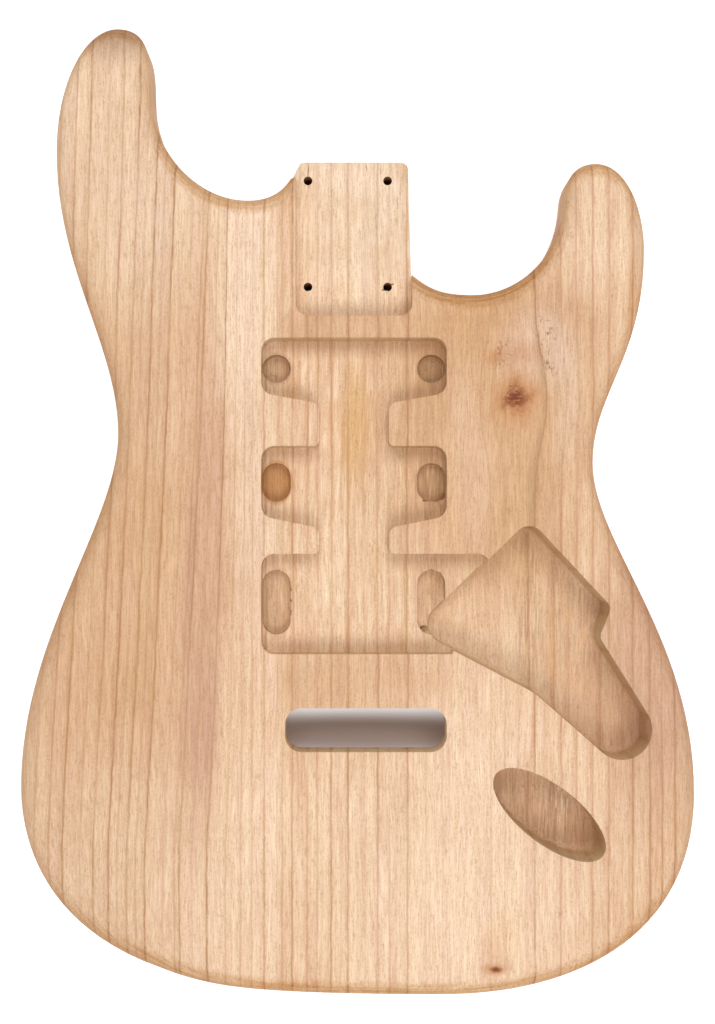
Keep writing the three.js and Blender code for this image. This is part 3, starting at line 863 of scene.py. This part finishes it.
trebleFigure = {
    "bend": {"low": -292, "high": 70, "rise": 0, "ease": 0, "straight": 160, "full": 161},
    "rings": [(-33.8, 0.3, 2), (-29.1, 0.75, 3), (-22, 0.55, 3), (-17.4, 0.5, 2.5), (-10.8, 0.75, 3),
              (-2.8, 0.9, 3.5), (5.2, 0.3, 3), (11.3, 0.7, 4), (16.9, 0.4, 3), (25.4, 1.0, 5), (34, 0.2, 3),
              (41.8, 0.25, 3), (57.8, 0.2, 3), (64.4, 0.35, 3), (71, 0.25, 3), (84.9, 1.0, 4),
              (97.3, 0.6, 4), (104.5, 0.45, 4), (112.2, 0.55, 4), (119.9, 0.7, 4), (131.1, 0.8, 5),
              (139.1, 0.8, 4), (144.8, 0.7, 3), (150.9, 0.8, 3)],
    "tones": [(-36, 0.42), (-24, 0.42), (-5, 0.34), (12, 0.3), (26, 0.32), (30, 0.16), (60, 0.12), (82, 0.25),
              (90, 0.35), (110, 0.38), (135, 0.6), (162, 0.5)],
    "range": (-36, 164),
    "drift": {"slow": 1.4, "quick": 1.3},
    "weave": {"Streak": 1.3, "Grain": 1.4, "Hair": 0.7, "Mottle": 0.9},
    "line": "redLine",
    "spots": [
        ("tan", 62, -92, 52, 84, 0.5, 0.4, 0.85), ("tan", 72, -46, 40, 16, 0.6, 0.5, 0.9),
        ("tan", -4, -47, 34, 10, 0.5, 0.4, 0.6), ("tan", 4, -212, 46, 16, 0.6, 0.4, 0.6),
        ("pink", 142, -205, 24, 70, 0.6, 0.5, 0.8), ("orange", 0.5, -95, 7, 26, 0.7, 0.5, 0.65),
        ("ash", 88, -55, 15, 17, 0.7, 0.6, 0.7), ("ash", 98, -85, 7, 24, 0.7, 0.6, 0.5),
        ("stain", 78, -58, 9, 5, 0.8, 0.8, 0.3), ("stain", 69, -61, 3, 3.4, 0.7, 1.4, 0.45),
        ("crack", 70, -59, 7, 7, 0.5, 0.6, 0.7), ("crack", 88, -58, 5, 18, 0.5, 0.6, 0.7),
        ("brown", 84, -122, 2.4, 26, 0.7, 0.6, 0.75), ("brown", 84, -66, 2, 22, 0.8, 0.6, 0.5),
        ("stain", 66, -341, 6, 8, 0.9, 0.8, 0.4), ("orange", 68.6, -332, 8, 9, 0.8, 0.8, 0.4),
        ("pale", 50, -300, 70, 62, 0.6, 0.4, 0.5), ("cream", 56, -108, 11, 36, 0.6, 0.5, 0.25),
        ("cream", 115, -2, 18, 28, 0.6, 0.4, 0.4),
    ],
    # over the cut floors: the brown spots in the right-hand wells, the olive over the control cavity and the
    # umber and burn in the jack cavity are partly the wood's own colour and partly painted shade of the deep
    # cuts
    "floorMarksAndShade": [
        ("pale", -2, 0, 34, 44, 0.4, 0.3, 0.75), *wellWoodAndShade, ("brown", 37, -64.6, 7.6, 7.6, 0.15, 0, 0.6),
        ("brown", 37, -119, 7.8, 10.5, 0.15, 0, 0.6), ("brown", 37, -173, 7.8, 13, 0.2, 0, 0.4),
        ("olive", 92, -190, 70, 60, 0.3, 0.3, 0.25), ("burn", 108, -180, 22, 42, 0.5, 0.5, 0.36),
        ("burn", 84, -180, 6, 44, 0.6, 0.6, 0.4), ("umber", 92, -276, 44, 20, 0.3, 0.3, 0.36),
        ("burn", 92, -276, 34, 24, 0.3, 0.3, 0.45), ("fleck", 100, -274, 9, 12, 0.5, 0.6, 0.75),
        ("crack", 86, -268.5, 8, 3.5, 0.5, 0.3, 0.6), ("crack", 37, -64.6, 8, 8, 0.2, 0, 0.45),
        ("fleck", 0, -120, 50, 75, 0.3, 0.3, 0.25), ("burn", 37, -119, 8, 75, 0.3, 0.3, 0.4),
    ],
    # centre, core, halo, push, flatness
    "knots": [(75.7, -79.8, 4.6, 8.8, 13, 0.82), (66.7, -348.6, 2.3, 5, 3, 1.8)],
}
spotShade = 0.84  # what a dark streak leaves of a spot's colour


def applySpots(tree, place, color, tone, textures, rows):
    # lays each soft spot over the colour; some kinds are broken up by a texture of their own
    for kind, *shape, strength in rows:
        mask = placed(tree, softSpot, place, *shape)["Mask"]
        if kind in textures:
            mask = times(tree, mask, textures[kind])
        tint = mixed(tree, tone, palette[kind], tuple(v * spotShade for v in palette[kind]))
        color = mixed(tree, times(tree, mask, strength), color, tint)
    return color


driftTextures = {"slow": ((0.02, 0.009, 0.02), 2, 0.55), "quick": ((0.3, 0.12, 0.3), 2, 0.55)}


def ringPlace(tree, place, board):
    # the place across the board, with the slow lean of its rings taken out
    x, y = apart(tree, place)[:2]
    bend = board["bend"]
    along = ranged(tree, y, bend["low"], bend["high"], curve="LINEAR")
    lean = minus(tree, times(tree, along, bend["rise"]), times(tree, along, along, bend["ease"]))
    share = ranged(tree, x, bend["straight"], bend["full"])
    across = minus(tree, x, times(tree, lean, share))
    for label, texture in driftTextures.items():
        across = plus(tree, across, uneven(tree, place, texture, board["drift"][label]))
    return across


figureLook = {
    "breaks": (0.36, 0.56, 0.2, 1),
    "patches": ((0.11, 0.007, 0.11), 2, 0.5), "patchRange": (0.36, 0.58, 0.5, 1),
    "fleckRange": (0.56, 0.7), "burnRange": (0.53, 0.4), "shade": 0.6,
    "hairRange": (0.3, 0.72, 1, 0), "speckRange": (0.25, 0.65, 1, 0.35), "contrast": 0.8,
    "ink": 0.9, "deepInk": 0.6, "poreInk": 0.4,
    "streakRange": (0.4, 0.6), "warm": (1, 1.01, 0.98, 1), "rosy": (1, 0.985, 1, 1),
    "bright": 1.09, "dull": (0.74, 0.64, 0.51, 1),
    "knot": {"Halo": ("stain", 0.9), "Swirl": ("line", 0.4), "Core": ("knot", 0.95)},
    "relief": {"Hair": 0.5, "Pore": -0.5, "Speck": 0.3}, "lineRelief": -0.3,
}


def makeFigure(name, board):
    look = figureLook
    tree, place = newGroup(name, "Place")
    fine = placed(tree, fibre, place)
    across = ringPlace(tree, place, board)
    knots = [placed(tree, knot, place, *row) for row in board["knots"]]
    for made in knots:
        across = minus(tree, across, made["Push"])
    lines, shades = 0, 0
    for row in board["rings"]:
        ring = placed(tree, growthRing, across, *row)
        lines = calc(tree, "MAXIMUM", lines, ring["Line"])
        shades = calc(tree, "MAXIMUM", shades, ring["Shade"])
    broken = ranged(tree, fine["Hair"], *look["breaks"])
    patchy = ranged(tree, noise(tree, place, *look["patches"]), *look["patchRange"])
    lines = times(tree, lines, broken, patchy)
    textures = {
        "crack": placed(tree, squiggle, place)["Line"],
        "fleck": ranged(tree, fine["Hair"], *look["fleckRange"]),
        "burn": ranged(tree, fine["Grain"], *look["burnRange"]),
    }
    tone = rampOf(tree, across, board["tones"], *board["range"])
    for label, weight in board["weave"].items():
        tone = plus(tree, tone, times(tree, minus(tree, fine[label], noiseMiddle), weight))
    shades = times(tree, shades, times(tree, patchy, look["shade"]))
    tone = calc(tree, "ADD", tone, shades, clamp=True)
    color = mixed(tree, tone, palette["pale"], palette["tan"])
    leaning = newNode(tree, "CombineXYZ", None, {0: across, 1: apart(tree, place)[1]}).outputs[0]
    color = applySpots(tree, leaning, color, tone, textures, board["spots"])
    # the colour of cut surfaces, with the floor marks and the painted shade of deep floors laid over it
    deep = applySpots(tree, place, color, tone, textures, board["floorMarksAndShade"])
    hairs = ranged(tree, fine["Hair"], *look["hairRange"])
    dark = times(tree, hairs, ranged(tree, fine["Speck"], *look["speckRange"]))
    finished = {}
    for label, color, ink in (("Color", color, look["ink"]), ("Deep Color", deep, look["deepInk"])):
        warm, rosy = tinted(tree, color, look["warm"]), tinted(tree, color, look["rosy"])
        color = mixed(tree, ranged(tree, fine["Streak"], *look["streakRange"]), warm, rosy)
        bright, dull = scaled(tree, color, look["bright"]), tinted(tree, color, look["dull"])
        color = mixed(tree, calc(tree, "POWER", dark, look["contrast"]), bright, dull)
        color = mixed(tree, times(tree, lines, ink), color, palette[board["line"]])
        color = mixed(tree, times(tree, fine["Pore"], look["poreInk"]), color, palette["pore"])
        for made in knots:
            for mask, (kind, strength) in look["knot"].items():
                color = mixed(tree, times(tree, made[mask], strength), color, palette[kind])
        finished[label] = color
    relief = times(tree, lines, look["lineRelief"])
    for label, weight in look["relief"].items():
        relief = plus(tree, relief, times(tree, fine[label], weight))
    return closedGroup(tree, {**finished, "Lines": lines, "Relief": relief})


# Finishes

finishes = {
    "sanded": {
        "tint": (1, 1.02, 1.04, 1), "endGrain": (0.76, 0.59, 0.34, 1), "roughness": 0.66, "bump": 0.16},
    # the wall and floor tints are paler and cooler than the face's: painted light that offsets the shade and
    # warm bounce light inside the cuts
    "wall": {
        "tint": (0.98, 1.1, 1.1, 1), "endGrain": (0.97, 0.95, 0.9, 1), "roughness": 0.72, "bump": 0.35},
    "floor": {"tint": (1.03, 1.11, 1.17, 1), "endGrain": (1, 1, 1, 1), "roughness": 0.74, "bump": 0.3},
    "torn": {"tint": (0.62, 0.45, 0.36, 1), "endGrain": (0.8, 0.8, 0.8, 1), "roughness": 0.85, "bump": 0.8},
    # the edge tint is paler: fresh wood and a painted highlight along the rims of the cuts
    "edge": {"tint": (1.05, 1.08, 1.12, 1), "endGrain": (1, 1, 1, 1), "roughness": 0.7, "bump": 0.2},
}
finishLook = {
    "ends": (0.06, 0.6), "bands": ((0.03, 0.03, 1.1), 3, 0.6), "bandRange": (0.35, 0.65, 0.35, 1),
    "freshAndHighlightShare": 0.6,  # how much of an eased edge shows fresh, pale wood and a painted highlight
    "burnishRange": (0.45, 0.75, 0, 0.35), "chatter": 1.2, "arcs": 0.12,
    "sideRange": (0.92, 0.3), "sideTint": (0.96, 0.86, 0.68, 1),
    "bumpHeight": 0.5, "lineGloss": -0.08, "specular": 0.3,
}


def newMaterial(name):
    material = bpy.data.materials.new(name)
    material.use_nodes = True
    return material, material.node_tree, material.node_tree.nodes["Principled BSDF"]


def inMillimetres(tree, spot):
    return scaled(tree, spot["Object"], 1 / mm)


def woodFinish(name, figure, finish):
    look = finishLook
    material, tree, shader = newMaterial(name)
    spot = newNode(tree, "TexCoord").outputs
    place = inMillimetres(tree, spot)
    wood = placed(tree, figure, place)
    ny, nz = apart(tree, spot["Normal"])[1:]
    cut = finish is not finishes["sanded"]
    color = tinted(tree, wood["Deep Color" if cut else "Color"], finish["tint"])
    ends = ranged(tree, calc(tree, "ABSOLUTE", ny), *look["ends"])
    bands = ranged(tree, noise(tree, place, *look["bands"]), *look["bandRange"])
    color = mixed(tree, times(tree, ends, bands), color, tinted(tree, color, finish["endGrain"]))
    # eased edges turn towards cream: fresh wood and a painted highlight
    if finish is finishes["edge"]:
        color = mixed(tree, look["freshAndHighlightShare"], color, palette["cream"])
    height = wood["Relief"]
    if cut:
        marks = placed(tree, millMarks, place)
        color = mixed(tree, ranged(tree, marks["Burnish"], *look["burnishRange"]), color, palette["tan"])
        upright = calc(tree, "SUBTRACT", 1, calc(tree, "ABSOLUTE", nz), clamp=True)
        height = plus(tree, height, times(tree, marks["Chatter"], upright, look["chatter"]))
        flat = minus(tree, 1, upright)
        height = plus(tree, height, times(tree, marks["Arcs"], flat, look["arcs"]))
    else:
        side = ranged(tree, calc(tree, "ABSOLUTE", nz), *look["sideRange"])
        color = mixed(tree, side, color, tinted(tree, color, look["sideTint"]))
    bump = newNode(tree, "Bump", None, {
        "Strength": finish["bump"], "Distance": look["bumpHeight"] * mm, "Height": height})
    fed(tree, shader, {
        "Base Color": color,
        "Roughness": plus(tree, finish["roughness"], times(tree, wood["Lines"], look["lineGloss"])),
        "Normal": bump.outputs[0],
        "Specular IOR Level": look["specular"],
    })
    return material


def boardFinishes(label, board):
    # in the order of the boards' material slots
    figure = makeFigure(label + "Figure", board)
    return [woodFinish(label + kind.capitalize(), figure, finish) for kind, finish in finishes.items()]


glueLook = {
    "color": (0.66, 0.45, 0.29, 1), "dark": (0.52, 0.33, 0.19, 1), "roughness": 0.5,
    "clouds": ((0.2, 0.05, 0.2), 3, 0.6), "cloudRange": (0.35, 0.65),
}


def glueFinish():
    look = glueLook
    material, tree, shader = newMaterial("curedGlue")
    place = inMillimetres(tree, newNode(tree, "TexCoord").outputs)
    cloudy = ranged(tree, noise(tree, place, *look["clouds"]), *look["cloudRange"])
    fed(tree, shader, {
        "Base Color": mixed(tree, cloudy, look["color"], look["dark"]), "Roughness": look["roughness"]})
    return material


bassMaterials = boardFinishes("bass", bassFigure)
trebleMaterials = boardFinishes("treble", trebleFigure)
glueMaterials = [glueFinish()] * len(finishes)
print("finishes made")

bass = boardPiece("bassBoard", glueLeft - reach, glueLeft, bassMaterials)
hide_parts("bass_board")
glue = boardPiece("glueFilm", glueLeft, glueRight, glueMaterials)
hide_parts("glue_line")
treble = boardPiece("trebleBoard", glueRight, glueRight + reach, trebleMaterials)
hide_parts("treble_board")
dropped([routed])
for o in (bass, glue, treble):
    print(o.name, len(o.data.polygons), "faces")

# Stage

floorLook = {
    "size": 30, "drop": 0.4, "roughness": 0.9, "glow": 0.62,
    "color": (0.8, 0.79, 0.84, 1),
    # a painted shadow: a darker, browner patch on the floor under the slot, without the glow, that shows
    # through the slot
    "paintedShadow": (0.76, 0.65, 0.62, 1), "paintedShadowShift": -6.2, "paintedShadowShape": (95, 10.6, 0.8, 0),
}
white = (1, 1, 1, 1)


def backgroundRays(tree):
    # 1 for rays that show the background: straight from the camera, in gloss or through glass
    path = newNode(tree, "LightPath").outputs
    shown = calc(tree, "MAXIMUM", path["Is Camera Ray"], path["Is Glossy Ray"])
    return calc(tree, "MAXIMUM", shown, path["Is Transmission Ray"])


def stagePlane():
    look, slot = floorLook, cuts["slot"]
    bpy.ops.mesh.primitive_plane_add(size=look["size"], location=(0, 0, -look["drop"] * mm))
    floor = bpy.context.object
    floor.name = "floor"
    material, tree, shader = newMaterial("paleFloor")
    place = inMillimetres(tree, newNode(tree, "TexCoord").outputs)
    # the painted shadow under the slot darkens the floor's colour and takes its glow away
    paintedShadow = placed(tree, softSpot, place, slot["x"], slot["y"] + look["paintedShadowShift"], *look["paintedShadowShape"])["Mask"]
    fed(tree, shader, {
        "Base Color": mixed(tree, paintedShadow, look["color"], look["paintedShadow"]), "Roughness": look["roughness"]})
    glow = newNode(tree, "Emission", None, {
        "Color": white, "Strength": ranged(tree, paintedShadow, 0, 1, look["glow"], 0)}).outputs[0]
    both = newNode(tree, "AddShader", None, {0: shader.outputs[0], 1: glow}).outputs[0]
    pick = newNode(tree, "MixShader", None, {0: backgroundRays(tree), 1: shader.outputs[0], 2: both})
    fed(tree, tree.nodes["Material Output"], {"Surface": pick.outputs[0]})
    floor.data.materials.append(material)


stagePlane()

room = {"color": (0.95, 0.97, 1, 1), "strength": 0.48}
scene = bpy.context.scene
world = bpy.data.worlds.new("softRoom")
scene.world = world
world.use_nodes = True
tree = world.node_tree
seen = backgroundRays(tree)
fed(tree, tree.nodes["Background"], {
    "Color": mixed(tree, seen, room["color"], white),
    "Strength": ranged(tree, seen, 0, 1, room["strength"], 1, "LINEAR"),
})

# each lamp's place, power and color
lamps = {
    "size": (1.3, 0.9),
    "aim": (0, -0.14, 0),
    "neckSideLamp": ((0.14, 0.75, 2.4), 23.5, (1, 0.995, 0.985)),
    "tailSideLamp": ((0.12, -1.15, 2.4), 24.5, (1, 0.995, 0.985)),
}


def softLamp(name):
    place, power, color = lamps[name]
    data = bpy.data.lights.new(name, "AREA")
    data.shape = "RECTANGLE"
    data.size, data.size_y = lamps["size"]
    data.energy = power
    data.color = color
    lamp = linked(name, data)
    lamp.location = place
    lamp.rotation_mode = "QUATERNION"
    lamp.rotation_quaternion = (Vector(lamps["aim"]) - Vector(place)).to_track_quat("-Z", "Y")


softLamp("neckSideLamp")
softLamp("tailSideLamp")

# The camera looks straight down, from over its foot; a pixel spans mmPerPx on the front face
view = {
    "height": 850, "foot": (345, 540), "fieldPx": (715, 1024), "mmPerPx": 0.47,
    "centreLineX": 354, "originY": 228.2, "sensor": 36, "near": 0.05, "far": 50,
}
lens = bpy.data.cameras.new("camera")
camera = linked("camera", lens)
scene.camera = camera
across, along = view["fieldPx"]
footX, footY = view["foot"]
camera.location = (
    (footX - view["centreLineX"]) * view["mmPerPx"] * mm, (view["originY"] - footY) * view["mmPerPx"] * mm,
    (faceZ + view["height"]) * mm)
lens.sensor_fit = "AUTO"
lens.sensor_width = view["sensor"]
lens.lens = view["sensor"] * view["height"] / (along * view["mmPerPx"])
lens.shift_x, lens.shift_y = (across / 2 - footX) / along, (footY - along / 2) / along
lens.clip_start, lens.clip_end = view["near"], view["far"]
scene.view_settings.view_transform = "Standard"
print("stage, lamps and camera set")
